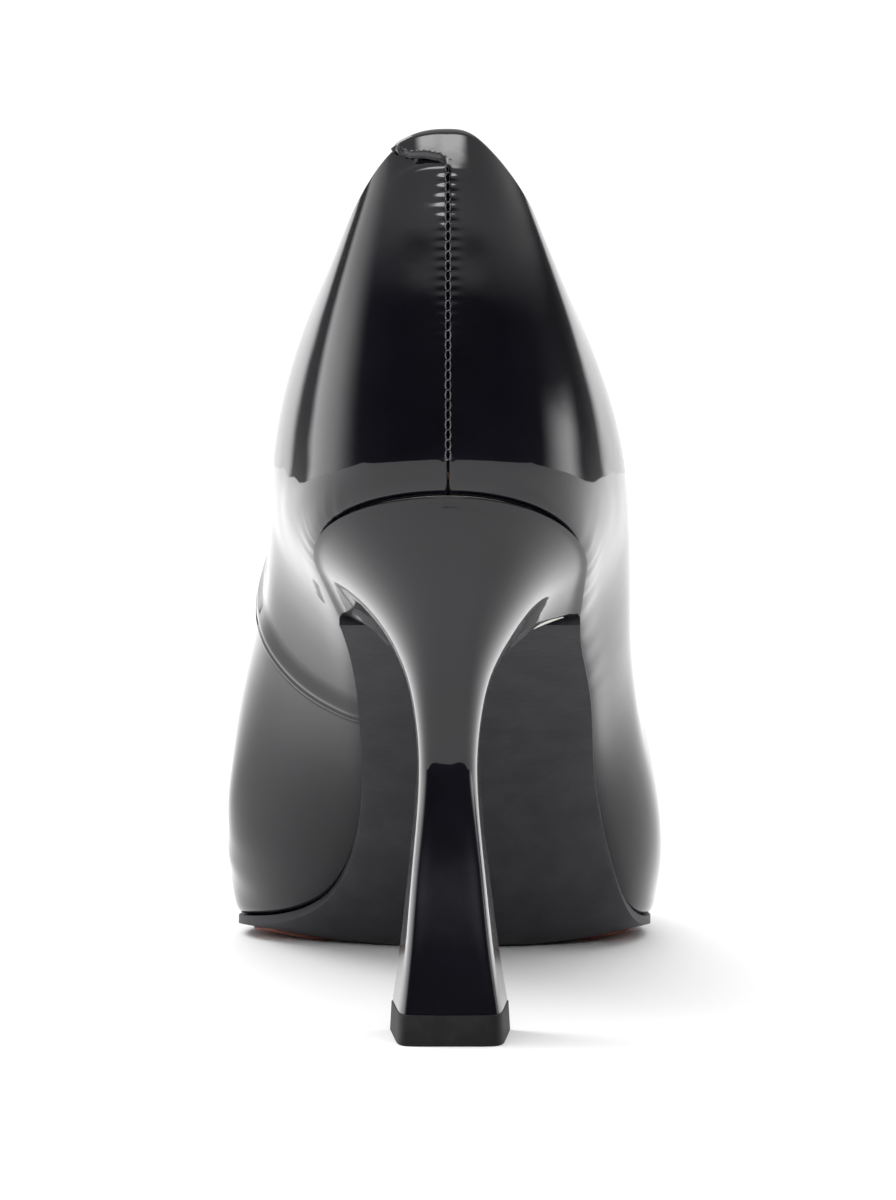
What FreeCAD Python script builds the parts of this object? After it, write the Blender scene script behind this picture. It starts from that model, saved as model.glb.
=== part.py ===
import FreeCAD, Part
import math
import os

# High heel pump, right shoe, European size 38, millimetres.
# Working axes: X to the outer (lateral) side of the foot, Y from the back of
# the heel to the toe, Z up from the floor.  Every finished piece is shifted at
# the end so that the frame's origin is the bottom centre of the whole shoe.

V = FreeCAD.Vector

# --- Overall sizes -----------------------------------------------------------
HEEL_HEIGHT = 93.4        # floor to the back of the heel seat
LENGTH = 236.0            # back of the heel to the tip of the toe, at the sole
BALL_WIDTH = 1.0          # scale of every width of the last and sole
SEAT_DROP = 23.4          # fall of the heel seat from its back to the breast
SEAT_BACK = 2.5           # back edge of the seat
BREAST_Y = 50.0           # front edge of the seat

# --- Thicknesses -------------------------------------------------------------
LEATHER = 1.1
TAPE = 0.3
COUNTER = 0.8
LINING = 0.8
GAP = 0.05                # clearance between neighbouring layers
MARGIN = 10.0             # leather turned under the insole board
MARGIN_TOE = 6.0
CORNER = 2.0              # run of the rounded turn at the feather line
INSOLE = 1.8
FOAM = 1.4
SOCK = 0.7
SHANK = 1.0
SHANK_WIDTH = 9.0
OUTSOLE_WAIST = 1.6
OUTSOLE_BALL = 2.6
TREAD = 1.3
TREAD_INSET = 3.0

# --- Heel --------------------------------------------------------------------
COVER = 0.9
BREAST_COVER = 0.7
BREAST_GAP = 0.15         # glue line between the heel and its breast cover
LIFT = 5.3
DOWEL_RADIUS = 2.5
DOWEL_BORE = 1.5
DOWEL_Y = 24.5
DOWEL_TOP = 55.0
PIN_REACH = 14.0
SCREW_RADIUS = 2.0
SCREW_Y = 27.0
SCREW_TIP = 58.0
NAIL_RADIUS = 0.8
NAIL_LENGTH = 16.0
FIT = 0.02                # radial clearance of pins and screws in their holes

# --- Seams -------------------------------------------------------------------
SIDE_SEAM = 20.45         # place of the medial side seam round the shoe
SEAM_GAP = 0.01           # half the opening between two butted edges
STITCH = 0.25             # radius of the sewing thread
BACK_STITCHES = 30
SIDE_STITCHES = 34
TAB_STITCHES = 9

# Places round the shoe.  Each row is one cut from the sole to the topline:
# y of the sole edge, its lateral and medial half widths, then the fullest
# point of the wall (y, z, lateral, medial) and the topline (y, z, lateral,
# medial).
CUTS = [
    (2.5, 0.0, 0.0, 0.3, 100.0, 0.0, 0.0, 6.2, 153.4, 0.0, 0.0),
    (5.5, None, None, 3.0, 98.8, 11.5, 11.8, 7.2, 151.2, 6.0, 7.8),
    (16.0, None, None, 13.5, 95.5, 21.5, 21.8, 15.5, 142.5, 12.9, 14.6),
    (33.0, None, None, 33.0, 92.0, 27.6, 27.9, 31.0, 131.5, 17.8, 19.6),
    (54.0, 23.0, 18.4, 56.0, 88.0, 31.4, 31.0, 52.0, 114.0, 25.2, 26.7),
    (77.0, 25.2, 16.4, 78.0, 72.0, 32.7, 32.4, 74.0, 97.5, 28.2, 28.8),
    (98.0, 26.4, 15.9, 98.0, 57.0, 33.8, 35.5, 95.0, 83.0, 29.6, 30.0),
    (117.0, 28.3, 16.4, 117.0, 40.5, 36.3, 39.4, 114.0, 71.0, 29.8, 30.5),
    (134.0, 33.4, 23.5, 134.0, 25.5, 40.0, 41.7, 130.0, 61.0, 27.0, 28.0),
    (151.0, 38.6, 39.0, 151.0, 15.8, 41.2, 42.2, 143.5, 53.5, 20.5, 21.5),
    (172.0, 37.5, 37.5, 171.0, 14.0, 39.5, 40.0, 152.0, 49.8, 13.0, 13.5),
    (196.0, 27.0, 26.5, 195.0, 13.3, 30.0, 30.0, 156.0, 48.3, 7.2, 7.4),
    (218.0, 13.6, 13.2, 218.0, 12.5, 16.2, 16.0, 157.4, 47.9, 3.2, 3.2),
    (236.0, 0.0, 0.0, 237.6, 12.0, 0.0, 0.0, 157.7, 47.8, 0.0, 0.0),
]
HALF = len(CUTS) - 1      # the toe's place; the back seam is at 0 and 2 * HALF
ROUND = 2 * HALF

# Fall of the sole's upper face ahead of the heel seat, as y and z.
SOLE_FALL = [(75, 57.2), (100, 42.3), (115, 30.8), (125, 19.9), (133, 11.2),
             (140, 6.7), (150, 4.6), (160, 3.7), (180, 4.1), (205, 5.4), (240, 8.6)]

# Heel levels, from the seat to the top lift: back (y, z), front (y, z), half
# widths at the back (lateral, medial) and at the front (lateral, medial), how
# far forward the rounding reaches and how square it is.
HEEL_LEVELS = [
    (2.5, 93.4, 50.0, 70.0, 24.6, 27.2, 22.9, 18.8, 0.60, 2.0),
    (3.5, 86.0, 47.3, 66.5, 21.5, 22.2, 13.8, 12.3, 0.62, 2.0),
    (7.6, 77.0, 43.0, 62.2, 15.2, 14.8, 9.1, 8.3, 0.66, 2.1),
    (12.8, 68.0, 38.0, 57.5, 9.8, 9.4, 6.7, 6.5, 0.70, 2.3),
    (16.9, 58.0, 34.5, 52.2, 6.4, 6.3, 5.7, 5.6, 0.72, 2.9),
    (18.5, 48.0, 32.7, 45.5, 5.0, 5.0, 5.4, 5.4, 0.74, 3.8),
    (17.9, 38.0, 31.5, 37.5, 5.2, 5.2, 5.9, 5.9, 0.76, 5.0),
    (16.3, 27.0, 31.0, 27.0, 6.2, 6.1, 7.1, 6.9, 0.76, 6.5),
    (14.5, 16.0, 31.2, 16.0, 7.3, 6.9, 8.5, 8.1, 0.76, 8.0),
    (13.0, LIFT, 31.6, LIFT, 8.8, 8.0, 10.2, 9.5, 0.76, 9.0),
]
ROUND_HEEL = 41           # points round each heel level
LIFT_FLARE = 1.045        # the top lift is a little wider at the floor

made = {}


def keep(name, shape):
    made[name] = shape


# --- Scaling of the hand-set tables with the overall sizes ---------------------
def long_y(y):
    return y * LENGTH / 236.0


def high_z(z, y):
    """Heights follow the heel: the whole rise above the ball scales with it."""
    fade = max(0.0, min(1.0, (150.0 - y) / 100.0))
    return z + (HEEL_HEIGHT - 93.4) * fade


def heel_z(z):
    """Heights in the heel itself, measured between the lift and the seat."""
    rise = (z - LIFT) / (93.4 - LIFT)
    return z + (HEEL_HEIGHT - 93.4) * rise


def seat_z(y):
    return HEEL_HEIGHT - SEAT_DROP * (y - SEAT_BACK) / (BREAST_Y - SEAT_BACK)


def sole_curve():
    """Upper face of the sole, seen from the side, ahead of the heel seat."""
    run = [long_y(y) for y, z in SOLE_FALL]
    points = [V(0, BREAST_Y, seat_z(BREAST_Y))]
    points += [V(0, y, high_z(z, y0)) for y, (y0, z) in zip(run, SOLE_FALL)]
    curve = Part.BSplineCurve()
    curve.interpolate(Points=points, Parameters=[BREAST_Y] + run,
                      InitialTangent=V(0, 1, -SEAT_DROP / (BREAST_Y - SEAT_BACK)),
                      FinalTangent=V(0, 1, 0.10))
    return curve


SOLE_CURVE = sole_curve()


def sole_z(y):
    if y <= BREAST_Y:
        return seat_z(y)
    return SOLE_CURVE.value(min(y, long_y(240))).z


def sole_slope(y):
    return (sole_z(y + 0.5) - sole_z(y - 0.5)) / 1.0


# --- Smooth curves and skins ----------------------------------------------------
def spaced(first, last, count):
    return [first + (last - first) * i / (count - 1) for i in range(count)]


def ring_curve(values):
    """A closed smooth curve through one value per place round the shoe."""
    curve = Part.BSplineCurve()
    curve.interpolate(Points=values, PeriodicFlag=True,
                      Parameters=[float(i) for i in range(len(values) + 1)])
    return curve


def at(curve, u):
    return curve.value(u % ROUND)


def even(points, fractions):
    """Points at the given fractions of a polyline's length."""
    run = [0.0]
    for a, b in zip(points, points[1:]):
        run.append(run[-1] + a.distanceToPoint(b))
    found = []
    k = 0
    for f in fractions:
        goal = f * run[-1]
        while k < len(run) - 2 and run[k + 1] < goal:
            k += 1
        step = (goal - run[k]) / max(run[k + 1] - run[k], 1e-9)
        found.append(points[k] + (points[k + 1] - points[k]) * step)
    return found


def smooth(points, places):
    curve = Part.BSplineCurve()
    curve.interpolate(Points=points, Parameters=places)
    return curve


def skin(grid, us, vs):
    """A smooth surface through a grid of points; grid[i][j] sits at us[i], vs[j]."""
    rows = [smooth([line[j] for line in grid], us) for j in range(len(vs))]
    columns = []
    for poles in zip(*[row.getPoles() for row in rows]):
        columns.append(smooth(list(poles), vs))
    surface = Part.BSplineSurface()
    surface.buildFromPolesMultsKnots(
        [c.getPoles() for c in columns],
        rows[0].getMultiplicities(), columns[0].getMultiplicities(),
        rows[0].getKnots(), columns[0].getKnots(), False, False,
        rows[0].Degree, columns[0].Degree)
    return surface


def strip(a, b):
    """The flat-ruled strip between two matching curves."""
    surface = Part.BSplineSurface()
    surface.buildFromPolesMultsKnots(
        [a.getPoles(), b.getPoles()], [2, 2], a.getMultiplicities(),
        [0, 1], a.getKnots(), False, False, 1, a.Degree)
    return surface.toShape()


def close_skins(outer, inner):
    """A solid between two skins that share their parameter ranges."""
    u0, u1, v0, v1 = outer.bounds()
    faces = [outer.toShape(), inner.toShape()]
    faces += [strip(outer.uIso(u), inner.uIso(u)) for u in (u0, u1)]
    faces += [strip(outer.vIso(v), inner.vIso(v)) for v in (v0, v1)]
    shell = Part.makeShell(faces)
    shell.sewShape()
    solid = Part.makeSolid(shell)
    if solid.Volume < 0:
        solid.reverse()
    return solid


# --- The last: rails round the shoe -----------------------------------------------
def seat_half(y, side):
    """Half width of the heel seat, by the same rule as the heel's top level."""
    row = HEEL_LEVELS[0]
    back, front = (row[4], row[6]) if side > 0 else (row[5], row[7])
    t = (y - SEAT_BACK) / (BREAST_Y - SEAT_BACK)
    return heel_half(t, back, front, row[8], row[9]) * BALL_WIDTH


def heel_half(t, back, front, reach, power):
    arc = max(0.0, 1.0 - min(t / reach, 1.0))
    return (back + (front - back) * t) * (1.0 - arc ** power) ** (1.0 / power)


def cut_points(row, side):
    y, lateral, medial, by, bz, bl, bm, ty, tz, tl, tm = row
    width = lateral if side > 0 else medial
    if width is None:
        width = seat_half(y, side)
    else:
        width *= BALL_WIDTH
    belly = (bl if side > 0 else bm) * BALL_WIDTH
    top = (tl if side > 0 else tm) * BALL_WIDTH
    place = y if y <= BREAST_Y else long_y(y)
    return (V(side * width, place, 0),
            V(side * belly, long_y(by), high_z(bz, by)),
            V(side * top, long_y(ty), high_z(tz, by)))


def rails():
    order = [(i, 1) for i in range(HALF + 1)] + [(i, -1) for i in range(HALF - 1, 0, -1)]
    stations = [cut_points(CUTS[i], side) for i, side in order]
    return [ring_curve([s[k] for s in stations]) for k in range(3)]


FEATHER, BELLY, TOP = rails()


def outward(curve, u):
    """Level direction pointing out of a rail that runs anticlockwise."""
    d = curve.getD1(u % ROUND)[1]
    n = V(d.y, -d.x, 0)
    return n.normalize()


def feather(u, inset=0.0):
    """A point of the sole edge, moved in level by the inset."""
    p = at(FEATHER, u) - outward(FEATHER, u) * inset
    return V(p.x, p.y, sole_z(p.y))


def margin_width(u):
    width = MARGIN - (MARGIN - MARGIN_TOE) * math.exp(-((u - HALF) / 1.6) ** 2)
    return width * BALL_WIDTH


def fullness(u):
    """How far the wall rises before it leans in: least over the toe."""
    return 0.5 - 0.22 * math.exp(-((u - HALF) / 1.9) ** 2)


def arc(a, b, c, t):
    return a * (1 - t) ** 2 + b * (2 * t * (1 - t)) + c * t ** 2


def wall(u):
    """The wall of one cut, from the sole edge over the fullest point to the top."""
    low, belly, top = feather(u), at(BELLY, u), at(TOP, u)
    full = fullness(u)
    n = outward(BELLY, u)
    rise = top - low
    rise = rise - n * rise.dot(n)
    rise.normalize()
    below = belly - rise * ((belly - low).dot(rise) * 0.5)
    above = belly + rise * ((top - belly).dot(rise) * full)
    line = [arc(low, below, belly, t) for t in spaced(0, 1, 15)]
    line += [arc(belly, above, top, t) for t in spaced(0, 1, 25)[1:]]
    return line


WALL_ROWS = [0.10, 0.16, 0.23, 0.31, 0.40, 0.50, 0.60, 0.70, 0.80, 0.90, 1.0]
TURN_ROWS = [-0.18, -0.10, -0.035, 0.0, 0.035]
ROWS = TURN_ROWS + WALL_ROWS


def cut(u):
    """One full cut: the margin under the insole, the turn and the wall."""
    width = margin_width(u)
    line = wall(u)
    low = even(line, [0.035])[0]
    under = feather(u, CORNER)
    turn = arc(under, feather(u), low, 0.5)
    points = [feather(u, width), feather(u, (width + CORNER) / 2), under, turn, low]
    return points + even(line, WALL_ROWS)


def last_surface():
    places = spaced(-2, ROUND + 2, 2 * (ROUND + 4) + 1)
    return skin([cut(u) for u in places], places, ROWS)


LAST = last_surface()


NORMAL_SIGN = 1.0 if LAST.normal(5.0, 0.5).x > 0 else -1.0


def inside(u, v, depth):
    """A point below the outer face of the upper, along its own normal."""
    u = u + ROUND if u < -1.5 else u
    return LAST.value(u, v) - LAST.normal(u, v) * (NORMAL_SIGN * depth)


def layer(u0, u1, vs, outer, inner, per_place=2):
    """A sheet of the upper between two depths, over part of the round."""
    us = spaced(u0, u1, max(4, int(round((u1 - u0) * per_place)) + 1))
    skins = []
    for depth in (outer, inner):
        depths = depth if isinstance(depth, list) else [depth] * len(vs)
        skins.append(skin([[inside(u, v, d) for v, d in zip(vs, depths)] for u in us], us, vs))
    return close_skins(skins[0], skins[1])


# --- Sheets that follow the sole ------------------------------------------------
def outline_prism(inset, blunt=0.0):
    """Upright prism on the sole outline moved in by an inset.

    A blunt outline leaves out the places next to the toe's tip and rounds
    across them, so that a deep inset does not fold over itself there.
    """
    places = [u for u in spaced(0, ROUND, 2 * ROUND + 1) if abs(u - HALF) >= blunt]
    points = []
    for u in places[:-1]:
        p = feather(u, inset(u) if callable(inset) else inset)
        points.append(V(p.x, p.y, -20))
    curve = Part.BSplineCurve()
    curve.interpolate(Points=points, PeriodicFlag=True, Parameters=places)
    cuts = spaced(0, ROUND, 14)
    edges = [Part.Edge(curve, a, b) for a, b in zip(cuts, cuts[1:])]
    return Part.Face(Part.Wire(edges)).extrude(V(0, 0, 220))


def board_inset(u):
    """The boards reach out to the lining: furthest where the wall lies flattest."""
    low, up = even(wall(u), [0.0, 0.06])
    rise = up - low
    lean = math.atan2(rise.z + 0.5 * abs(rise.y), math.hypot(rise.x, rise.y))
    return 0.3 + EDGE * math.tan(max(lean, 0.1) / 2)


def raised(y, depth):
    """A point of the side view at a distance above the sole's upper face."""
    slope = sole_slope(y)
    size = math.sqrt(1 + slope * slope)
    return V(0, y - slope / size * depth, sole_z(y) + depth / size)


def slab(low, high, y0, y1):
    """Wide sheet between two distances above the sole's upper face."""
    ys = spaced(y0, y1, max(8, int((y1 - y0) / 9)))
    edges = []
    for depth in (low, high):
        curve = Part.BSplineCurve()
        curve.interpolate(Points=[raised(y, depth(y) if callable(depth) else depth) for y in ys])
        edges.append(curve.toShape())
    ends = []
    for k in (0, -1):
        ends.append(Part.makeLine(edges[0].Vertexes[k].Point, edges[1].Vertexes[k].Point))
    face = Part.Face(Part.Wire(Part.__sortEdges__(edges + ends)))
    face.translate(V(-60, 0, 0))
    return face.extrude(V(120, 0, 0))


def sole_sheet(inset, low, high, y0, y1, blunt=0.0):
    sheet = outline_prism(inset, blunt).common(slab(low, high, y0, y1))
    return sheet.Solids[0]


def post(x, y, z0, z1, radius):
    return Part.makeCylinder(radius, z1 - z0, V(x, y, z0))


def group(solids):
    return Part.makeCompound(solids)


# --- Upper -------------------------------------------------------------------------
POCKET = LEATHER + TAPE + COUNTER + 3 * GAP     # depth at which the lining starts
LINING_ROWS = [0.055, 0.12, 0.18, 0.25, 0.34, 0.45, 0.56, 0.67, 0.78, 0.88, 0.955]
COUNTER_ROWS = [0.06, 0.12, 0.19, 0.28, 0.40, 0.52, 0.64, 0.76, 0.86]
PUFF_ROWS = [0.055, 0.09, 0.14, 0.20, 0.28, 0.36, 0.44, 0.50]
TOPLINE_ROWS = [0.895, 0.915, 0.935]
TAPE_ROWS = [0.06, 0.14, 0.25, 0.38, 0.52, 0.66, 0.80, 0.88]
TAB_ROWS = [0.905, 0.93, 0.955, 0.98, 1.0]
COUNTER_END = 5.4         # places round the shoe where the layers meet
LINING_END = 6.0
PUFF_START = 10.6
BACKER_START = COUNTER_END + 0.1
BACKER_END = PUFF_START - 0.15


def heel_tab():
    """Dog-tail tab of the lateral quarter, laid over the top of the back seam."""
    us = [ROUND - 1.02, ROUND - 0.68, ROUND - 0.34, ROUND, ROUND + 0.06, ROUND + 0.12]
    depths = [0.0, 0.0, 0.0, 0.0, 0.35, 0.5]
    rows = TAB_ROWS
    outer = skin([[inside(u, v, -LEATHER) for v in rows] for u in us], us, rows)
    inner = skin([[inside(u, v, d) for v in rows] for u, d in zip(us, depths)], us, rows)
    return close_skins(outer, inner)


def outer_leather():
    lateral = layer(SEAM_GAP, SIDE_SEAM - SEAM_GAP, ROWS, 0.0, LEATHER)
    medial = layer(SIDE_SEAM + SEAM_GAP, ROUND - SEAM_GAP, ROWS, 0.0, LEATHER, 3)
    joined = lateral.fuse(heel_tab().cut(medial))
    keep("vamp_and_lateral_quarter", joined.Solids[0])
    keep("medial_quarter", medial)


def linings():
    top = POCKET + LINING
    quarter = layer(-LINING_END + SEAM_GAP, LINING_END - SEAM_GAP, LINING_ROWS, POCKET, top)
    vamp = layer(LINING_END + SEAM_GAP, ROUND - LINING_END - SEAM_GAP, LINING_ROWS, POCKET, top)
    keep("quarter_lining", quarter)
    keep("vamp_lining", vamp)


def stiffeners():
    start = LEATHER + TAPE + 2 * GAP
    end = start + COUNTER
    keep("heel_counter", layer(-COUNTER_END, COUNTER_END, COUNTER_ROWS, start, end))
    start = LEATHER + GAP
    puff = layer(PUFF_START, ROUND - PUFF_START, PUFF_ROWS, start, end - 0.15, 4)
    keep("toe_puff", puff)
    for name, first, last in (("lateral_backer", BACKER_START, BACKER_END),
                              ("medial_backer", ROUND - BACKER_END, ROUND - BACKER_START)):
        keep(name, layer(first, last, COUNTER_ROWS, start, start + 0.7))


def tapes():
    start = LEATHER + GAP
    ring = layer(0.05, ROUND - 0.05, TOPLINE_ROWS, start, start + 0.6)
    keep("topline_tape", ring)
    keep("back_seam_tape", layer(-0.45, 0.45, TAPE_ROWS, start, start + TAPE - GAP / 2, 5))


def thread(a, b):
    """One visible stitch between two points: a short round bar."""
    along = b - a
    return Part.makeCylinder(STITCH, along.Length, a, along)


def stitches():
    bars = []
    for v in spaced(0.09, 0.895, BACK_STITCHES):
        bars.append(thread(inside(-0.11, v, 0.05), inside(0.11, v, 0.05)))
    keep("back_seam_stitches", group(bars))
    bars = []
    for v in spaced(0.07, 0.975, SIDE_STITCHES):
        a = inside(SIDE_SEAM + 0.09, v - 0.007, 0.05)
        bars.append(thread(a, inside(SIDE_SEAM + 0.09, v + 0.007, 0.05)))
    keep("medial_seam_stitches", group(bars))
    bars = []
    for u in spaced(ROUND - 0.92, ROUND - 0.06, TAB_STITCHES):
        a = inside(u - 0.03, 0.925, -LEATHER + 0.05)
        bars.append(thread(a, inside(u + 0.03, 0.925, -LEATHER + 0.05)))
    keep("dog_tail_stitches", group(bars))


# --- Bottom ------------------------------------------------------------------------
INSOLE_LOW = LEATHER + 2 * GAP
INSOLE_HIGH = INSOLE_LOW + INSOLE
FOAM_HIGH = INSOLE_HIGH + GAP + FOAM
EDGE = POCKET + LINING + 0.15     # the boards sit inside the lining
SHANK_START = 33.0
SHANK_END = 128.0
RIVETS = (38.0, 100.0)
RIVET_RADIUS = 1.0
NAILS = [(-6.0, 16.0), (6.0, 16.0), (-6.5, 29.0), (6.5, 29.0)]


def filler_inset(u):
    return margin_width(u) + 0.6


def outsole_low(y):
    t = max(0.0, min(1.0, (y - 100.0) / 40.0))
    return -(OUTSOLE_WAIST + (OUTSOLE_BALL - OUTSOLE_WAIST) * t * t * (3 - 2 * t))


def shank_plan(extra):
    width = SHANK_WIDTH + 2 * extra
    ends = long_y(SHANK_END) - SHANK_START + 2 * extra
    return Part.makeBox(width, ends, 200, V(3 - width / 2, SHANK_START - extra, -20))


def tilt_room(y, radius):
    """Height an upright pin needs so that its flat end clears the sloping sheets."""
    return radius * abs(sole_slope(y)) + GAP


def fixings():
    """Rivets, nails and the heel screw, all driven straight down."""
    rivets = []
    for y in (RIVETS[0], long_y(RIVETS[1])):
        low = raised(y, GAP).z + tilt_room(y, RIVET_RADIUS)
        high = raised(y, INSOLE_HIGH).z - tilt_room(y, RIVET_RADIUS)
        rivets.append(post(3.0, y, low, high, RIVET_RADIUS))
    keep("shank_rivets", group(rivets))
    nails = []
    for x, y in NAILS:
        top = seat_z(y) + INSOLE_HIGH - tilt_room(y, NAIL_RADIUS)
        nails.append(post(x, y, top - NAIL_LENGTH, top, NAIL_RADIUS))
    keep("heel_nails", group(nails))
    top = seat_z(SCREW_Y) + INSOLE_HIGH - tilt_room(SCREW_Y, SCREW_RADIUS)
    keep("heel_screw", post(0, SCREW_Y, heel_z(SCREW_TIP), top, SCREW_RADIUS))


def holes(shape, names):
    """Clear the pins that pass through a part, with the running fit."""
    for name in names:
        for pin in made[name].Solids:
            box = pin.BoundBox
            radius = box.XLength / 2 + FIT
            shape = shape.cut(post(box.Center.x, box.Center.y, box.ZMin - 3, box.ZMax + 3, radius))
    return shape


def bottom():
    pins = ["shank_rivets", "heel_nails", "heel_screw"]
    toe = long_y(250)
    insole = sole_sheet(board_inset, INSOLE_LOW, INSOLE_HIGH, -8, toe)
    keep("insole_board", holes(insole, pins).Solids[0])
    keep("sock_foam", sole_sheet(lambda u: board_inset(u) + 0.4, INSOLE_HIGH + GAP, FOAM_HIGH, -8, toe))
    keep("sock_lining", sole_sheet(board_inset, FOAM_HIGH + GAP, FOAM_HIGH + GAP + SOCK, -8, toe))
    filler = sole_sheet(filler_inset, GAP, LEATHER, -8, toe, 1.4).cut(shank_plan(0.2))
    keep("bottom_filler", holes(filler, pins[1:]).Solids[0])
    shank = slab(GAP, GAP + SHANK, 5, long_y(150)).common(shank_plan(0))
    keep("steel_shank", holes(shank, pins[:1]).Solids[0])
    sole = sole_sheet(0.0, outsole_low, -2 * GAP, BREAST_Y + BREAST_COVER + 2 * BREAST_GAP, toe)
    keep("outsole", sole)


def tread():
    """Rubber forepart, flat where it stands on the floor."""
    high = OUTSOLE_BALL + GAP
    pad = sole_sheet(TREAD_INSET, -high - TREAD, -high, long_y(146), long_y(222))
    floor = Part.makeBox(200, 400, 40, V(-100, -50, -40))
    keep("tread_pad", pad.cut(floor).Solids[0])


# --- Heel --------------------------------------------------------------------------
def level_plan(row, inset, ahead):
    """Half-round outline of one heel level in its own plane: across, along."""
    by, bz, fy, fz, bl, bm, fl, fm, reach, power = row
    length = math.hypot(fy - by, heel_z(bz) - heel_z(fz))
    outline = []
    for side, back, front in ((1, bl, fl), (-1, bm, fm)):
        half = []
        for i in range(61):
            t = reach * (1 - math.cos(math.pi / 2 * i / 40) ** (2 / power)) if i <= 40 else None
            if t is None:
                t = reach + (1 - reach) * (i - 40) / 20.0
            width = heel_half(t, back, front, reach, power) * BALL_WIDTH
            half.append(V(side * width, t * length, 0))
        outline.append(half)
    points = outline[0][::-1] + outline[1][1:]
    if inset:
        points = inset_outline(points, inset)
    if ahead:
        points = [points[0] + V(0, ahead, 0)] + points + [points[-1] + V(0, ahead, 0)]
    return points


def inset_outline(points, inset):
    moved = []
    for i, p in enumerate(points):
        a = points[max(i - 1, 0)]
        b = points[min(i + 1, len(points) - 1)]
        d = b - a
        moved.append(p + V(-d.y, d.x, 0).normalize() * -inset)
    return moved


def level_points(row, inset=0.0, ahead=0.0):
    """The outline of a heel level in its place; the last one lies on the top lift."""
    by, bz, fy, fz = row[:4]
    room = -GAP if row is HEEL_LEVELS[-1] else GAP
    back = V(0, by, heel_z(bz) - room)
    along = V(0, fy, heel_z(fz) - room) - back
    along.normalize()
    plan = even(level_plan(row, inset, ahead), spaced(0, 1, ROUND_HEEL))
    return [V(p.x, 0, 0) + back + along * p.y for p in plan]


def flat_cap(curve):
    """Flat face inside a level outline and the straight line that closes it."""
    first = curve.value(curve.FirstParameter)
    last = curve.value(curve.LastParameter)
    return Part.Face(Part.Wire([curve.toShape(), Part.makeLine(last, first)]))


def heel_body(inset=0.0, ahead=0.0):
    """Smooth wall through all levels, a ruled breast and two flat ends."""
    grid = [level_points(row, inset, ahead) for row in HEEL_LEVELS]
    drops = [HEEL_LEVELS[0][1] - row[1] for row in HEEL_LEVELS]
    wall = skin(grid, drops, spaced(0, 1, ROUND_HEEL))
    u0, u1, v0, v1 = wall.bounds()
    faces = [wall.toShape(), strip(wall.vIso(v0), wall.vIso(v1))]
    faces += [flat_cap(wall.uIso(u)) for u in (u0, u1)]
    shell = Part.makeShell(faces)
    shell.sewShape()
    solid = Part.makeSolid(shell)
    if solid.Volume < 0:
        solid.reverse()
    return solid


def breast_cover():
    """Leather on the front of the heel, ruled across from edge to edge."""
    edges = []
    for end in (0, -1):
        points = [level_points(row)[end] + V(0, BREAST_GAP, 0) for row in HEEL_LEVELS]
        points[0] = points[0] - V(0, 0, BREAST_COVER)
        curve = Part.BSplineCurve()
        curve.interpolate(Points=points, Parameters=spaced(0, 1, len(points)))
        edges.append(curve)
    return strip(edges[0], edges[1]).extrude(V(0, BREAST_COVER, 0))


def heel():
    whole = heel_body()
    cover = whole.cut(heel_body(COVER, 4.0))
    keep("heel_cover", cover.Solids[0])
    block = heel_body(COVER + GAP)
    tube_top = heel_z(DOWEL_TOP)
    tube = post(0, DOWEL_Y, LIFT + GAP, tube_top, DOWEL_RADIUS)
    block = block.cut(post(0, DOWEL_Y, 0, tube_top, DOWEL_RADIUS + FIT))
    for name in ("heel_nails", "heel_screw"):
        for pin in made[name].Solids:
            box = pin.BoundBox
            block = block.cut(post(box.Center.x, box.Center.y, box.ZMin, 200, box.XLength / 2 + FIT))
    keep("heel_block", block.Solids[0])
    keep("heel_breast_cover", breast_cover())
    keep("heel_dowel", tube.cut(post(0, DOWEL_Y, 0, tube_top + 1, DOWEL_BORE)))


def top_lift():
    wires = []
    for height, flare in ((0.0, LIFT_FLARE), (LIFT, 1.0)):
        row = HEEL_LEVELS[-1]
        plan = even(level_plan(row, 0.0, 0.0), spaced(0, 1, ROUND_HEEL))
        middle = (row[2] - row[0]) / 2
        points = [V(p.x * flare, row[0] + middle + (p.y - middle) * flare, height) for p in plan]
        curve = smooth(points, spaced(0, 1, ROUND_HEEL))
        wires.append(Part.Wire([curve.toShape(), Part.makeLine(points[-1], points[0])]))
    lift = Part.makeLoft(wires, True)
    pin = post(0, DOWEL_Y, 1.6, LIFT + PIN_REACH, DOWEL_BORE - FIT)
    keep("top_lift", lift.cut(post(0, DOWEL_Y, 1.6, LIFT + 1, DOWEL_BORE)))
    keep("top_lift_pin", pin)


def export():
    box = Part.makeCompound(list(made.values())).optimalBoundingBox()
    os.makedirs("parts", exist_ok=True)
    for name, shape in made.items():
        shape.translate(V(-box.Center.x, -box.Center.y, 0))
        shape.exportStep("parts/%s.step" % name)
        print(name, shape.isValid(), len(shape.Solids), round(shape.Volume, 1))
    print("moved by", -box.Center.x, -box.Center.y, "lowest", box.ZMin, "size",
          box.XLength, box.YLength, box.ZLength)


outer_leather()
linings()
stiffeners()
tapes()
stitches()
fixings()
bottom()
tread()
heel()
top_lift()
export()
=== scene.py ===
# %% [markdown]
# # A patent leather pump, dressed over its CAD parts
#
# The shoe was designed as a set of solid parts: the leather pieces of the upper,
# the linings, the sole and the heel. Those solids give every place and size.
# In this lesson we give the visible pieces their real surfaces: rolled leather
# edges, a puckered back seam, a tab with a raw edge, a wrapped heel, a matt
# sole. We work in millimetres, as a shoemaker does, and turn the numbers into
# metres only when a mesh is made.

# %% Load the frame
import math

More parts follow.
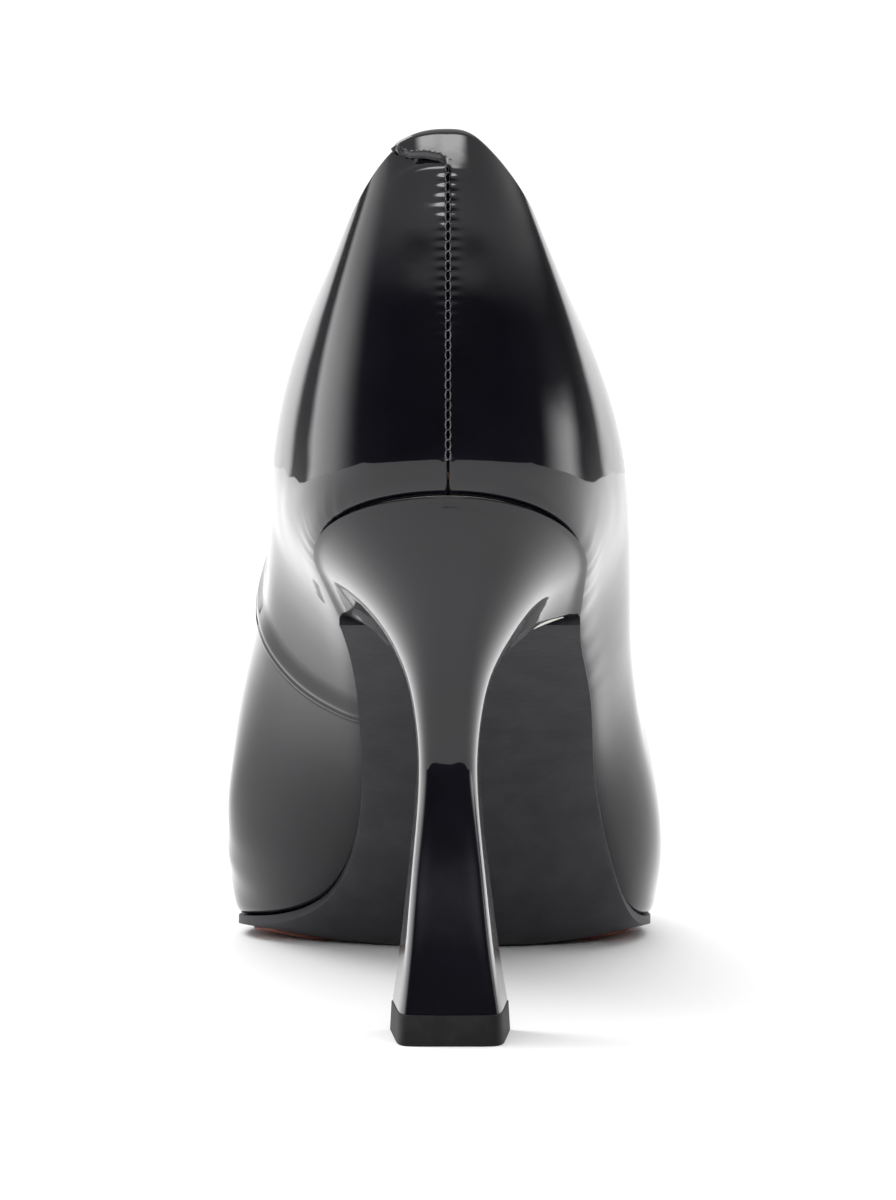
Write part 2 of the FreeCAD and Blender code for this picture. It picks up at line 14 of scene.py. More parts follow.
import bpy
import numpy as np
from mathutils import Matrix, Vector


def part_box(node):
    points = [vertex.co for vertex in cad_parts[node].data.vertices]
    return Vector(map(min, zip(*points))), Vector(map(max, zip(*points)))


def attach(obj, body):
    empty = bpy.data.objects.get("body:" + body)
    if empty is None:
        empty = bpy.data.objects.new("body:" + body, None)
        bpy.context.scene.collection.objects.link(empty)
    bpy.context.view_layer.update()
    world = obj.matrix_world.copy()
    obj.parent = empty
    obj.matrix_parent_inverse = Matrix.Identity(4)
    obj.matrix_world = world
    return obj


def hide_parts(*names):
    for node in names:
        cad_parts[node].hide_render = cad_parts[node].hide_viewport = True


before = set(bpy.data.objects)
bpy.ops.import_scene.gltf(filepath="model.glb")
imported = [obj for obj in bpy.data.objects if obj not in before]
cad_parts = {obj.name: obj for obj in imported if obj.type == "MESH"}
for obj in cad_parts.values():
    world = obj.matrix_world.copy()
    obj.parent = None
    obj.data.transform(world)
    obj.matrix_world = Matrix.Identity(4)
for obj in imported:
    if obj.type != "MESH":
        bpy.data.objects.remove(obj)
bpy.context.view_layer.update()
dowel_low, dowel_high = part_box("heel_dowel")
DOWEL_Y = 24.5
SHIFT = np.array([(dowel_low[0] + dowel_high[0]) * 500,
                  (dowel_low[1] + dowel_high[1]) * 500 - DOWEL_Y, 0.0])

# %% [markdown]
# ## The last
#
# A shoe is built over a last, a solid model of the foot. Fourteen cuts from the
# sole edge up to the topline describe it, from the back of the heel to the toe.
# Each cut has a point at the sole, one at the fullest part of the wall and one at
# the topline. They are the same cuts that the CAD parts were made from, so each
# surface made here lies exactly on those parts.

# %% The cuts of the last
SEAT_BACK, BREAST_Y, HEEL_HEIGHT, SEAT_DROP = 2.5, 50.0, 93.4, 23.4
CUTS = [
    (2.5, 0.0, 0.0, 0.3, 100.0, 0.0, 0.0, 6.2, 153.4, 0.0, 0.0),
    (5.5, None, None, 3.0, 98.8, 11.5, 11.8, 7.2, 151.2, 6.0, 7.8),
    (16.0, None, None, 13.5, 95.5, 21.5, 21.8, 15.5, 142.5, 12.9, 14.6),
    (33.0, None, None, 33.0, 92.0, 27.6, 27.9, 31.0, 131.5, 17.8, 19.6),
    (54.0, 23.0, 18.4, 56.0, 88.0, 31.4, 31.0, 52.0, 114.0, 25.2, 26.7),
    (77.0, 25.2, 16.4, 78.0, 72.0, 32.7, 32.4, 74.0, 97.5, 28.2, 28.8),
    (98.0, 26.4, 15.9, 98.0, 57.0, 33.8, 35.5, 95.0, 83.0, 29.6, 30.0),
    (117.0, 28.3, 16.4, 117.0, 40.5, 36.3, 39.4, 114.0, 71.0, 29.8, 30.5),
    (134.0, 33.4, 23.5, 134.0, 25.5, 40.0, 41.7, 130.0, 61.0, 27.0, 28.0),
    (151.0, 38.6, 39.0, 151.0, 15.8, 41.2, 42.2, 143.5, 53.5, 20.5, 21.5),
    (172.0, 37.5, 37.5, 171.0, 14.0, 39.5, 40.0, 152.0, 49.8, 13.0, 13.5),
    (196.0, 27.0, 26.5, 195.0, 13.3, 30.0, 30.0, 156.0, 48.3, 7.2, 7.4),
    (218.0, 13.6, 13.2, 218.0, 12.5, 16.2, 16.0, 157.4, 47.9, 3.2, 3.2),
    (236.0, 0.0, 0.0, 237.6, 12.0, 0.0, 0.0, 157.7, 47.8, 0.0, 0.0),
]
SOLE_FALL = [(75, 57.2), (100, 42.3), (115, 30.8), (125, 19.9), (133, 11.2),
             (140, 6.7), (150, 4.6), (160, 3.7), (180, 4.1), (205, 5.4), (240, 8.6)]
TOE = len(CUTS) - 1
ROUND = 2 * TOE
print(len(CUTS), "cuts; the back seam is at 0 and", ROUND, "and the toe at", TOE)

# %% [markdown]
# ## Smooth curves between the cuts
#
# A spline bends as little as it can while passing through its knots, like the
# thin wooden batten of a boat builder. `spline_weights` gives, for each place
# asked, how much each knot counts there. The same weights then work for a
# curve and, used in both directions, for a surface.

# %% Spline helpers
def spline_weights(knots, places, closed=False):
    knots = np.asarray(knots, float)
    places = np.asarray(places, float).ravel()
    n = len(knots) - 1 if closed else len(knots)
    step = np.diff(knots)
    if closed:
        places = (places - knots[0]) % (knots[-1] - knots[0]) + knots[0]
    bend = np.zeros((n, n))
    side = np.zeros((n, n))
    for i in range(n):
        if not closed and i in (0, n - 1):
            bend[i, i] = 1.0
            continue
        before, after = step[i - 1], step[i % len(step)]
        a, b, c = (i - 1) % n, i, (i + 1) % n
        bend[i, a] += before / 6
        bend[i, b] += (before + after) / 3
        bend[i, c] += after / 6
        side[i, a] += 1 / before
        side[i, b] -= 1 / before + 1 / after
        side[i, c] += 1 / after
    second = np.linalg.solve(bend, side)
    k = np.clip(np.searchsorted(knots, places, side="right") - 1, 0, len(step) - 1)
    h = step[k]
    right = (places - knots[k]) / h
    left = 1 - right
    eye = np.eye(n)
    low, high = k % n, (k + 1) % n
    return (left[:, None] * eye[low] + right[:, None] * eye[high]
            + ((left ** 3 - left) * h * h / 6)[:, None] * second[low]
            + ((right ** 3 - right) * h * h / 6)[:, None] * second[high])


def sole_z(y):
    """Height of the sole's upper face: a straight heel seat, then a smooth fall."""
    y = np.asarray(y, float)
    knots = [30.0, 40.0, 50.0] + [p[0] for p in SOLE_FALL]
    seat = [HEEL_HEIGHT - SEAT_DROP * (k - SEAT_BACK) / (BREAST_Y - SEAT_BACK) for k in knots[:3]]
    heights = seat + [p[1] for p in SOLE_FALL]
    fall = spline_weights(knots, np.clip(y, 30, 240)) @ np.array(heights)
    level = HEEL_HEIGHT - SEAT_DROP * (y - SEAT_BACK) / (BREAST_Y - SEAT_BACK)
    return np.where(y < 45, level, fall.reshape(y.shape))


print("sole height at the seat, waist and ball:", sole_z(np.array([10.0, 90.0, 160.0])).round(1))

# %% Heel levels, shared by the heel and the back of the last
HEEL_LEVELS = [
    (2.5, 93.4, 50.0, 70.0, 24.6, 27.2, 22.9, 18.8, 0.60, 2.0),
    (3.5, 86.0, 47.3, 66.5, 21.5, 22.2, 13.8, 12.3, 0.62, 2.0),
    (7.6, 77.0, 43.0, 62.2, 15.2, 14.8, 9.1, 8.3, 0.66, 2.1),
    (12.8, 68.0, 38.0, 57.5, 9.8, 9.4, 6.7, 6.5, 0.70, 2.3),
    (16.9, 58.0, 34.5, 52.2, 6.4, 6.3, 5.7, 5.6, 0.72, 2.9),
    (18.5, 48.0, 32.7, 45.5, 5.0, 5.0, 5.4, 5.4, 0.74, 3.8),
    (17.9, 38.0, 31.5, 37.5, 5.2, 5.2, 5.9, 5.9, 0.76, 5.0),
    (16.3, 27.0, 31.0, 27.0, 6.2, 6.1, 7.1, 6.9, 0.76, 6.5),
    (14.5, 16.0, 31.2, 16.0, 7.3, 6.9, 8.5, 8.1, 0.76, 8.0),
    (13.0, 5.3, 31.6, 5.3, 8.8, 8.0, 10.2, 9.5, 0.76, 9.0),
]


def half_width(t, back, front, reach, power):
    """Half width of a heel level: round at the back, straight towards the front."""
    arc = np.clip(1 - np.minimum(t / reach, 1), 0, 1)
    return (back + (front - back) * t) * (1 - arc ** power) ** (1 / power)


# %% The surface of the last
def last_rails():
    rails = [[], [], []]
    order = [(i, 1) for i in range(TOE + 1)] + [(i, -1) for i in range(TOE - 1, 0, -1)]
    seat = HEEL_LEVELS[0]
    for i, side in order:
        y, lateral, medial, by, bz, bl, bm, ty, tz, tl, tm = CUTS[i]
        width = lateral if side > 0 else medial
        if width is None:
            ends = (seat[4], seat[6]) if side > 0 else (seat[5], seat[7])
            width = half_width((y - SEAT_BACK) / (BREAST_Y - SEAT_BACK), *ends, seat[8], seat[9])
        rails[0].append((side * width, y, 0))
        rails[1].append((side * (bl if side > 0 else bm), by, bz))
        rails[2].append((side * (tl if side > 0 else tm), ty, tz))
    return [np.array(r, float) for r in rails]


RAILS = last_rails()
RAIL_PLACES = np.arange(ROUND + 1)


def rail(which, u):
    return spline_weights(RAIL_PLACES, u, closed=True) @ RAILS[which]


def outward(which, u):
    """Level direction that points out of the shoe."""
    along = rail(which, np.asarray(u) + 0.01) - rail(which, np.asarray(u) - 0.01)
    normal = np.stack([along[:, 1], -along[:, 0], 0 * along[:, 0]], 1)
    return normal / np.linalg.norm(normal, axis=1)[:, None]


def sole_edge(u, inset=0.0):
    """The feather line, where the upper meets the sole, moved in by an inset."""
    inset = np.broadcast_to(inset, np.shape(u))
    p = rail(0, u) - outward(0, u) * inset[:, None]
    p[:, 2] = sole_z(p[:, 1])
    return p


def wall_points(u, fractions):
    """Points up the wall of one cut, evenly by length."""
    u = np.array([u])
    low, belly, top = sole_edge(u)[0], rail(1, u)[0], rail(2, u)[0]
    full = 0.5 - 0.22 * math.exp(-((u[0] - TOE) / 1.9) ** 2)
    n = outward(1, u)[0]
    rise = top - low
    rise = rise - n * rise.dot(n)
    rise /= np.linalg.norm(rise)
    below = belly - rise * ((belly - low).dot(rise) * 0.5)
    above = belly + rise * ((top - belly).dot(rise) * full)

    def bow(a, b, c, t):
        return a * (1 - t) ** 2 + b * (2 * t * (1 - t)) + c * t ** 2

    t = np.linspace(0, 1, 40)[:, None]
    line = np.concatenate([bow(low, below, belly, t), bow(belly, above, top, t)[1:]])
    run = np.concatenate([[0], np.cumsum(np.linalg.norm(np.diff(line, axis=0), axis=1))])
    return np.stack([np.interp(np.array(fractions) * run[-1], run, line[:, k]) for k in range(3)], 1)


WALL_ROWS = [0.035, 0.10, 0.16, 0.23, 0.31, 0.40, 0.50, 0.60, 0.70, 0.80, 0.90, 1.0]
ROWS = [-0.10, -0.035, 0.0] + WALL_ROWS
PLACES = np.linspace(0, ROUND, 2 * ROUND + 1)


def last_knots():
    knots = []
    for u in PLACES[:-1]:
        up = wall_points(u, WALL_ROWS)
        under = sole_edge(np.array([u]), 2.0)[0]
        edge = sole_edge(np.array([u]))[0]
        turn = 0.25 * under + 0.5 * edge + 0.25 * up[0]
        deep = sole_edge(np.array([u]), 4.5)[0]
        knots.append(np.concatenate([[deep, under, turn], up]))
    return np.array(knots)


KNOTS = last_knots()
print("knots of the last:", KNOTS.shape)


def on_last(u, v):
    """Points of the last; u runs round the shoe and v from the sole to the topline."""
    around = spline_weights(PLACES, u, closed=True)
    up = spline_weights(ROWS, v)
    return np.einsum("ni,ijk,nj->nk", around, KNOTS, up).reshape(np.shape(u) + (3,))


def last_normal(u, v):
    du = on_last(u + 0.01, v) - on_last(u - 0.01, v)
    dv = on_last(u, v + 0.002) - on_last(u, v - 0.002)
    n = np.cross(du, dv)
    return n / np.linalg.norm(n, axis=-1)[..., None]


# %% [markdown]
# ## From a sheet of points to leather
#
# Leather is cut flat and pulled over the last. We do the same: a flat grid is
# added, its points are laid on the last, and a Solidify modifier gives it the
# thickness of the hide. The grid keeps a tidy UV map, one unit round the piece
# and one unit up it.

# %% Helpers that make a piece
def clear_selection():
    bpy.ops.object.select_all(action="DESELECT")


def lay_grid(name, points, thickness=0.0):
    """Add a grid, move its points to a sheet of points in mm and give it thickness."""
    nu, nv = points.shape[:2]
    clear_selection()
    bpy.ops.mesh.primitive_grid_add(x_subdivisions=nu - 1, y_subdivisions=nv - 1, size=1.0)
    piece = bpy.context.active_object
    piece.name = name
    piece.data.name = name
    co = np.ascontiguousarray((points.transpose(1, 0, 2) + SHIFT) / 1000, dtype=np.float32)
    piece.data.vertices.foreach_set("co", co.ravel())
    piece.data.update()
    if thickness:
        skin = piece.modifiers.new("hide", "SOLIDIFY")
        skin.thickness = thickness / 1000
        skin.offset = -1
        bpy.ops.object.modifier_apply(modifier="hide")
    bpy.ops.object.shade_smooth()
    print(name, len(piece.data.vertices), "points")
    return piece


def finish_piece(piece, body, material, slot, *stands_for):
    """Give a piece its material, its body and the CAD nodes it is shown for."""
    piece.data.materials.clear()
    piece.data.materials.append(material)
    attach(piece, body)
    if stands_for:
        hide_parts(*stands_for)


BODY = "shoe"

# %% [markdown]
# ## Materials
#
# Patent leather is leather under a thick clear lacquer. The leather below is
# almost black and only slightly rough; the lacquer is the coat of the shader. It
# is never quite flat: the grain below makes it swim a little, so a very weak
# bump moves its reflections.

# %% Patent leather and the other finishes
def new_material(name, color, roughness, **sockets):
    material = bpy.data.materials.new(name)
    material.use_nodes = True
    shader = material.node_tree.nodes["Principled BSDF"]
    shader.inputs["Base Color"].default_value = (*color, 1)
    shader.inputs["Roughness"].default_value = roughness
    for label, value in sockets.items():
        shader.inputs[label.replace("_", " ")].default_value = value
    return material


def tint(material, dark, light, scale):
    """Let the colour wander between two tones, in object space."""
    nodes, links = material.node_tree.nodes, material.node_tree.links
    place = nodes.new("ShaderNodeTexCoord")
    noise = nodes.new("ShaderNodeTexNoise")
    noise.inputs["Scale"].default_value = scale
    noise.inputs["Detail"].default_value = 4.0
    ramp = nodes.new("ShaderNodeValToRGB")
    ramp.color_ramp.elements[0].position = 0.35
    ramp.color_ramp.elements[0].color = (*dark, 1)
    ramp.color_ramp.elements[1].position = 0.65
    ramp.color_ramp.elements[1].color = (*light, 1)
    links.new(place.outputs["Object"], noise.inputs["Vector"])
    links.new(noise.outputs["Fac"], ramp.inputs["Fac"])
    links.new(ramp.outputs["Color"], nodes["Principled BSDF"].inputs["Base Color"])


def relief(material, layers, coat=False):
    """Stack bumps; each layer is (texture, scale, height in mm)."""
    nodes, links = material.node_tree.nodes, material.node_tree.links
    place = nodes.new("ShaderNodeTexCoord")
    last = None
    for kind, scale, height in layers:
        texture = nodes.new("ShaderNodeTexVoronoi" if kind == "cells" else "ShaderNodeTexNoise")
        texture.inputs["Scale"].default_value = scale
        bump = nodes.new("ShaderNodeBump")
        bump.inputs["Strength"].default_value = 1.0
        bump.inputs["Distance"].default_value = height / 1000
        links.new(place.outputs["Object"], texture.inputs["Vector"])
        links.new(texture.outputs["Distance" if kind == "cells" else "Fac"], bump.inputs["Height"])
        if last:
            links.new(last.outputs["Normal"], bump.inputs["Normal"])
        last = bump
    shader = nodes["Principled BSDF"]
    links.new(last.outputs["Normal"], shader.inputs["Normal"])
    if coat:
        links.new(last.outputs["Normal"], shader.inputs["Coat Normal"])


patent = new_material("patent_leather", (0.002, 0.002, 0.004), 0.32, IOR=1.45,
                      Specular_IOR_Level=0.06, Coat_Weight=1.0, Coat_Roughness=0.035, Coat_IOR=1.46)
tint(patent, (0.0012, 0.0012, 0.0030), (0.0035, 0.0035, 0.0065), 60.0)
relief(patent, [("noise", 45.0, 0.10), ("noise", 260.0, 0.012)], coat=True)

raw_edge = new_material("raw_leather_edge", (0.02, 0.02, 0.022), 0.55)
tint(raw_edge, (0.012, 0.012, 0.014), (0.05, 0.05, 0.055), 900.0)
relief(raw_edge, [("noise", 1400.0, 0.12)])

thread = new_material("waxed_thread", (0.02, 0.02, 0.024), 0.42)
tint(thread, (0.03, 0.03, 0.034), (0.15, 0.15, 0.16), 1500.0)
relief(thread, [("noise", 3000.0, 0.05)])

sole_black = new_material("sole_leather", (0.028, 0.028, 0.032), 0.5, Specular_IOR_Level=0.3)
tint(sole_black, (0.019, 0.019, 0.023), (0.027, 0.027, 0.032), 160.0)
relief(sole_black, [("noise", 900.0, 0.035), ("cells", 420.0, 0.02)])

tread_red = new_material("tread_rubber", (0.25, 0.07, 0.045), 0.6)
tint(tread_red, (0.20, 0.055, 0.035), (0.30, 0.09, 0.06), 220.0)
relief(tread_red, [("cells", 700.0, 0.08)])

lift_black = new_material("lift_rubber", (0.02, 0.02, 0.022), 0.55, Specular_IOR_Level=0.2)
tint(lift_black, (0.004, 0.004, 0.005), (0.009, 0.009, 0.010), 300.0)
relief(lift_black, [("noise", 1600.0, 0.04)])

lining = new_material("lining_leather", (0.60, 0.45, 0.33), 0.55)
tint(lining, (0.50, 0.37, 0.27), (0.66, 0.51, 0.39), 90.0)
relief(lining, [("cells", 1500.0, 0.03), ("noise", 120.0, 0.05)])
print("finishes:", len(bpy.data.materials))

# %% [markdown]
# ## The upper
#
# The upper is two pieces of leather. The larger one is the vamp with the outer
# quarter; the smaller is the inner quarter. They meet in the back seam, which is
# sewn through like a ladder, and each stitch pulls the leather down so that it
# puckers gently between the stitches. On the inner side the quarter laps over the
# vamp. The topline is folded, so each sheet carries on over a round fold and a
# little way down inside.

# %% Where the seams run
BACK_RISE = 62.0             # length of the back seam
PITCH = 1.66                 # from one ladder stitch to the next
TAB_V = 0.893                # the back seam ends under the tab
FOLD = 0.95                  # radius of the folded topline
SIDE_SEAM = 20.45            # place of the inner side seam
NEAR = np.array([0.05, 0.18, 0.30, 0.40, 0.52, 0.66, 0.82, 1.0,
                 1.2, 1.45, 1.75, 2.1, 2.6, 3.3, 4.2, 5.2])


def side_seam(v):
    """Place of the medial side seam; it leans back a little towards the sole."""
    levels = [0.0, 0.15, 0.32, 0.42, 0.52, 0.65, 1.0]
    lean = np.array([-0.10, -0.08, 0.05, 0.12, 0.0, -0.25, -0.6])
    return spline_weights(levels, np.clip(v, 0, 1)) @ (SIDE_SEAM + lean)


def pace(u, v):
    """Millimetres per unit of u."""
    return np.linalg.norm(on_last(u + 0.01, v) - on_last(u - 0.01, v), axis=-1) / 0.02


def smoothstep(x, a, b):
    t = np.clip((x - a) / (b - a), 0, 1)
    return t * t * (3 - 2 * t)


def pucker(s, v):
    """Height of the leather beside the back seam, s mm away from it."""
    run = (v - 0.1) * BACK_RISE / PITCH
    beat = 0.5 - 0.5 * np.cos(2 * np.pi * run)
    power = 0.02 + 0.028 * smoothstep(v, 0.45, 0.85)
    open_seam = 1 - smoothstep(v, TAB_V - 0.02, TAB_V)
    roll = np.clip(0.62 - s, 0, 0.50) / 0.52
    edge = -0.50 * (1 - np.sqrt(np.clip(1 - roll ** 2, 0, 1)))
    swell = 0.7 * power * (beat - 0.2) * np.exp(-((s - 1.1) / 0.9) ** 2)
    scallop = -0.8 * power * (1 - beat) * np.exp(-(s / 0.8) ** 2)
    wave = 0.06 * np.sin(2 * np.pi * run / 7.3) * smoothstep(v, 0.3, 0.8)
    wave = wave * np.exp(-((s - 4.0) / 3.0) ** 2)
    return open_seam * (edge + swell + scallop + wave)


def lasting_pleats(u, v):
    """Fine creases where the leather is pulled round the tight curve of the heel."""
    lateral = smoothstep(u, 1.6, 3.0) * (1 - smoothstep(u, 4.6, 6.0))
    medial = smoothstep(u, 22.6, 23.4) * (1 - smoothstep(u, 24.2, 24.8))
    wave = np.sin(34 * u + 3 * np.sin(5 * u)) * np.exp(-((v - 0.02) / 0.07) ** 2)
    return (0.11 * lateral + 0.09 * medial) * wave


def sheet_rows(count):
    """Rows up a sheet: the turned-under margin, the wall up to the fold."""
    return np.concatenate([[-0.06, -0.035, -0.018, 0.0, 0.018], np.linspace(0.035, 0.984, count)])


def with_fold(outer, normal):
    """Carry a sheet of points over the folded topline and down inside."""
    up = outer[:, -1] - outer[:, -2]
    n = normal[:, -1]
    up = up - n * np.sum(up * n, axis=1)[:, None]
    up /= np.linalg.norm(up, axis=1)[:, None]
    centre = outer[:, -1] - n * FOLD
    turn = np.linspace(0.25, math.pi, 10)
    rows = [centre + FOLD * (n * math.cos(a) + up * math.sin(a)) for a in turn]
    for back in (0.8, 2.0, 4.0):
        rows.append(centre - n * FOLD - up * back)
    return np.concatenate([outer, np.stack(rows, 1)], axis=1)


print("stitches in the back seam: about", round(0.8 * BACK_RISE / PITCH))

# %% Columns of each sheet
def columns_from_back(v, far, side, count):
    """Places u for each row: close together beside the back seam, then even."""
    start = 0.0 if side > 0 else float(ROUND)
    speed = pace(np.full_like(v, start), v)
    near = start + side * NEAR[:, None] / speed[None, :]
    t = np.linspace(0, 1, count + 1)[1:, None]
    rest = near[-1] + (far[None, :] - near[-1]) * t
    return np.concatenate([near, rest])


LAP = np.array([0.0, 0.12, 0.3, 0.5, 0.75, 1.05, 1.4, 1.8, 2.3, 2.9, 3.6, 4.6])


def sheet_points(u, v, height):
    p, n = on_last(u, v), last_normal(u, v)
    return p + n * height[..., None], n


def quarter_sheet():
    """The inner quarter, from its lap over the vamp to the back seam."""
    v = sheet_rows(190)
    seam = side_seam(v)
    speed = pace(seam, v)
    lap_u = seam[None, :] + (LAP[:, None] - 1.0) / speed[None, :]
    u = columns_from_back(v, lap_u[-1] + 0.02, -1, 70)[::-1]
    u = np.concatenate([lap_u, u[1:]])
    vv = np.broadcast_to(v, u.shape)
    s = (ROUND - u) * pace(np.full_like(v, float(ROUND)), v)[None, :]
    height = pucker(np.where(u > ROUND - 1.2, s, 9.0), vv)
    edge = (u - lap_u[0]) * speed[None, :]
    roll = np.clip(0.7 - edge, 0, 0.7) / 0.7
    height = height + 0.80 * (1 - smoothstep(edge, 2.5, 9.0))
    height = height - 0.7 * (1 - np.sqrt(1 - roll ** 2 * 0.98))
    height = height - 0.22 * np.exp(-((edge - 2.1) / 0.45) ** 2)
    height = height - 0.30 * smoothstep(vv, TAB_V, TAB_V + 0.03) * (1 - smoothstep(s, 6.5, 8.5))
    height = height + lasting_pleats(u, vv)
    points, n = sheet_points(u, vv, height)
    return with_fold(points, n)


quarter = lay_grid("inner_quarter", quarter_sheet(), 0.9)

# %% The vamp and outer quarter, with the tab
def vamp_sheet():
    """Vamp and outer quarter in one, from the back seam round the toe."""
    v = sheet_rows(190)
    seam = side_seam(v)
    speed = pace(seam, v)
    tail = seam[None, :] - (LAP[::-1, None] - 0.4) / speed[None, :]
    u = columns_from_back(v, tail[0] - 0.04, 1, 190)
    u = np.concatenate([u, tail])
    vv = np.broadcast_to(v, u.shape)
    s = u * pace(np.zeros_like(v), v)[None, :]
    height = pucker(np.where(u < 1.2, s, 9.0), vv)
    away = (seam[None, :] - u) * speed[None, :]
    height = height - 0.45 * (1 - smoothstep(away, 1.0, 2.6))
    height = height + lasting_pleats(u, vv)
    height = height + 0.25 * smoothstep(vv, TAB_V - 0.18, TAB_V) * (1 - smoothstep(s, 1.0, 8.0))
    points, n = sheet_points(u, vv, height)
    return v, with_fold(points, n)


TAB_EDGE = [(1.0, 146.7), (0.05, 147.1), (-1.2, 148.0), (-3.4, 148.4), (-5.4, 148.3), (-6.3, 148.8),
            (-6.8, 149.8), (-7.1, 151.2), (-7.3, 152.4)]


def tab_low(s):
    """Place v of the tab's lower edge, from its height at each distance across."""
    across = [p[0] for p in TAB_EDGE][::-1]
    z = np.interp(s, across, [p[1] for p in TAB_EDGE][::-1])
    u = s / float(pace(np.array([0.0]), np.array([0.92]))[0])
    ladder = np.linspace(0.85, 1.0, 60)
    places = [np.interp(h, on_last(np.full(60, x), ladder)[:, 2], ladder) for x, h in zip(u, z)]
    return np.minimum(places, 0.978)


def tab_sheet(v):
    """The tab grows out of the outer quarter's edge and crosses the seam."""
    first = int(np.searchsorted(v, TAB_V))
    rows = v[first:]
    speed = pace(np.zeros_like(rows), rows)
    s = np.concatenate([[NEAR[0]], np.linspace(0.0, -7.2, 60)])
    uu = s[:, None] / speed[None, :]
    low = tab_low(s)
    share = ((rows - rows[0]) / (rows[-1] - rows[0])) ** 1.15
    vv = low[:, None] + share[None, :] * (rows[-1] - low[:, None])
    vv[0] = rows
    raise_up = 0.25 + 0.42 * smoothstep(-s, 0.0, 5.0) + 0.25 * smoothstep(-s, 5.8, 7.2)
    lip = 0.40 * (1 - smoothstep((vv - low[:, None]) * BACK_RISE, 0.0, 1.1)) * smoothstep(-s, 0, 1.5)[:, None]
    height = raise_up[:, None] + lip
    height[0] = 0.25 * (1 - smoothstep(NEAR[0], 1.0, 8.0))
    points, n = sheet_points(uu, vv, height)
    return with_fold(points, n), first


vamp_v, vamp_points = vamp_sheet()
tab_points, tab_row = tab_sheet(vamp_v)
tab_points[0] = vamp_points[0, tab_row:]
vamp = lay_grid("vamp_and_outer_quarter", vamp_points)
tab = lay_grid("tab", tab_points[::-1])


def join_and_thicken(pieces, thickness):
    clear_selection()
    for piece in pieces:
        piece.select_set(True)
    bpy.context.view_layer.objects.active = pieces[0]
    bpy.ops.object.join()
    bpy.ops.object.mode_set(mode="EDIT")
    bpy.ops.mesh.select_all(action="SELECT")
    bpy.ops.mesh.remove_doubles(threshold=0.00001)
    bpy.ops.object.mode_set(mode="OBJECT")
    skin = pieces[0].modifiers.new("hide", "SOLIDIFY")
    skin.thickness = thickness / 1000
    skin.offset = -1
    skin.material_offset_rim = 1
    bpy.ops.object.modifier_apply(modifier="hide")
    bpy.ops.object.shade_smooth()
    print(pieces[0].name, len(pieces[0].data.vertices), "points")


for piece in (vamp, tab):
    piece.data.materials.append(patent)
    piece.data.materials.append(raw_edge)
join_and_thicken([vamp, tab], 0.9)
for piece, node in ((quarter, "medial_quarter"), (vamp, "vamp_and_lateral_quarter")):
    if not piece.data.materials:
        piece.data.materials.append(patent)
    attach(piece, BODY)
    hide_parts(node)

# %% [markdown]
# ## Lining
#
# Inside, a soft pale leather covers the stiffeners. It stops just under the
# folded topline.

# %% Linings
def lining_sheet(u0, u1, depth, columns):
    v = np.concatenate([np.linspace(0.045, 0.93, 60), [0.95, 0.965, 0.972]])
    u = np.linspace(u0, u1, columns)
    uu, vv = np.meshgrid(u, v, indexing="ij")
    drop = np.full(vv.shape, depth)
    drop[:, -1] -= 0.35
    drop[:, -2] -= 0.1
    p = on_last(uu, vv) - last_normal(uu, vv) * drop[..., None]
    return p


vamp_lining = lay_grid("vamp_lining_sheet", lining_sheet(5.9, ROUND - 5.9, 2.75, 110)[::-1], 0.0)
quarter_lining = lay_grid("heel_grip_sheet", lining_sheet(-6.1, 6.1, 3.05, 110)[::-1], 0.0)
for piece, node in ((vamp_lining, "vamp_lining"), (quarter_lining, "quarter_lining")):
    skin = piece.modifiers.new("hide", "SOLIDIFY")
    skin.thickness, skin.offset = 0.0006, -1
    clear_selection()
    bpy.context.view_layer.objects.active = piece
    bpy.ops.object.modifier_apply(modifier="hide")
    finish_piece(piece, BODY, lining, "lining_leather", node)

# %% [markdown]
# ## Thread
#
# A thread is a thin tube along a path. Each stitch is one short path; all the
# stitches of a seam are one object.

# %% Stitches
def sew(name, paths, radius, slot, *nodes):
    curve = bpy.data.curves.new(name, "CURVE")
    curve.dimensions = "3D"
    curve.bevel_depth = radius / 1000
    curve.bevel_resolution = 2
    curve.use_fill_caps = True
    for path in paths:
        line = curve.splines.new("POLY")
        line.points.add(len(path) - 1)
        for point, place in zip(line.points, (np.array(path) + SHIFT) / 1000):
            point.co = (*place, 1)
    piece = bpy.data.objects.new(name, curve)
    bpy.context.scene.collection.objects.link(piece)
    clear_selection()
    piece.select_set(True)
    bpy.context.view_layer.objects.active = piece
    bpy.ops.object.convert(target="MESH")
    piece = bpy.context.active_object
    bpy.ops.object.shade_smooth()
    finish_piece(piece, BODY, thread, slot, *nodes)
    print(name, len(paths), "stitches")


def back_seam_paths():
    paths = []
    count = int((TAB_V - 0.1) * BACK_RISE / PITCH) + 1
    for k in range(count):
        v = 0.1 + k * PITCH / BACK_RISE
        s = np.array([-0.55, -0.42, -0.22, 0.0, 0.22, 0.42, 0.55])
        sink = np.array([-0.60, -0.14, -0.12, -0.14, -0.12, -0.14, -0.60])
        vs = np.full(7, v) + np.linspace(-0.2, 0.2, 7) * PITCH / BACK_RISE * 0.4
        u = s / pace(np.zeros(7), vs)
        p = on_last(u, vs) + last_normal(u, vs) * sink[:, None]
        paths.append(p)
        for side in (-1, 1):
            vs = v + np.linspace(0.12, 0.88, 6) * PITCH / BACK_RISE
            s = side * (0.30 + 0.13 * np.sin(np.linspace(0, np.pi, 6)))
            u = s / pace(np.zeros(6), vs)
            paths.append(on_last(u, vs) - last_normal(u, vs) * 0.03)
    return paths


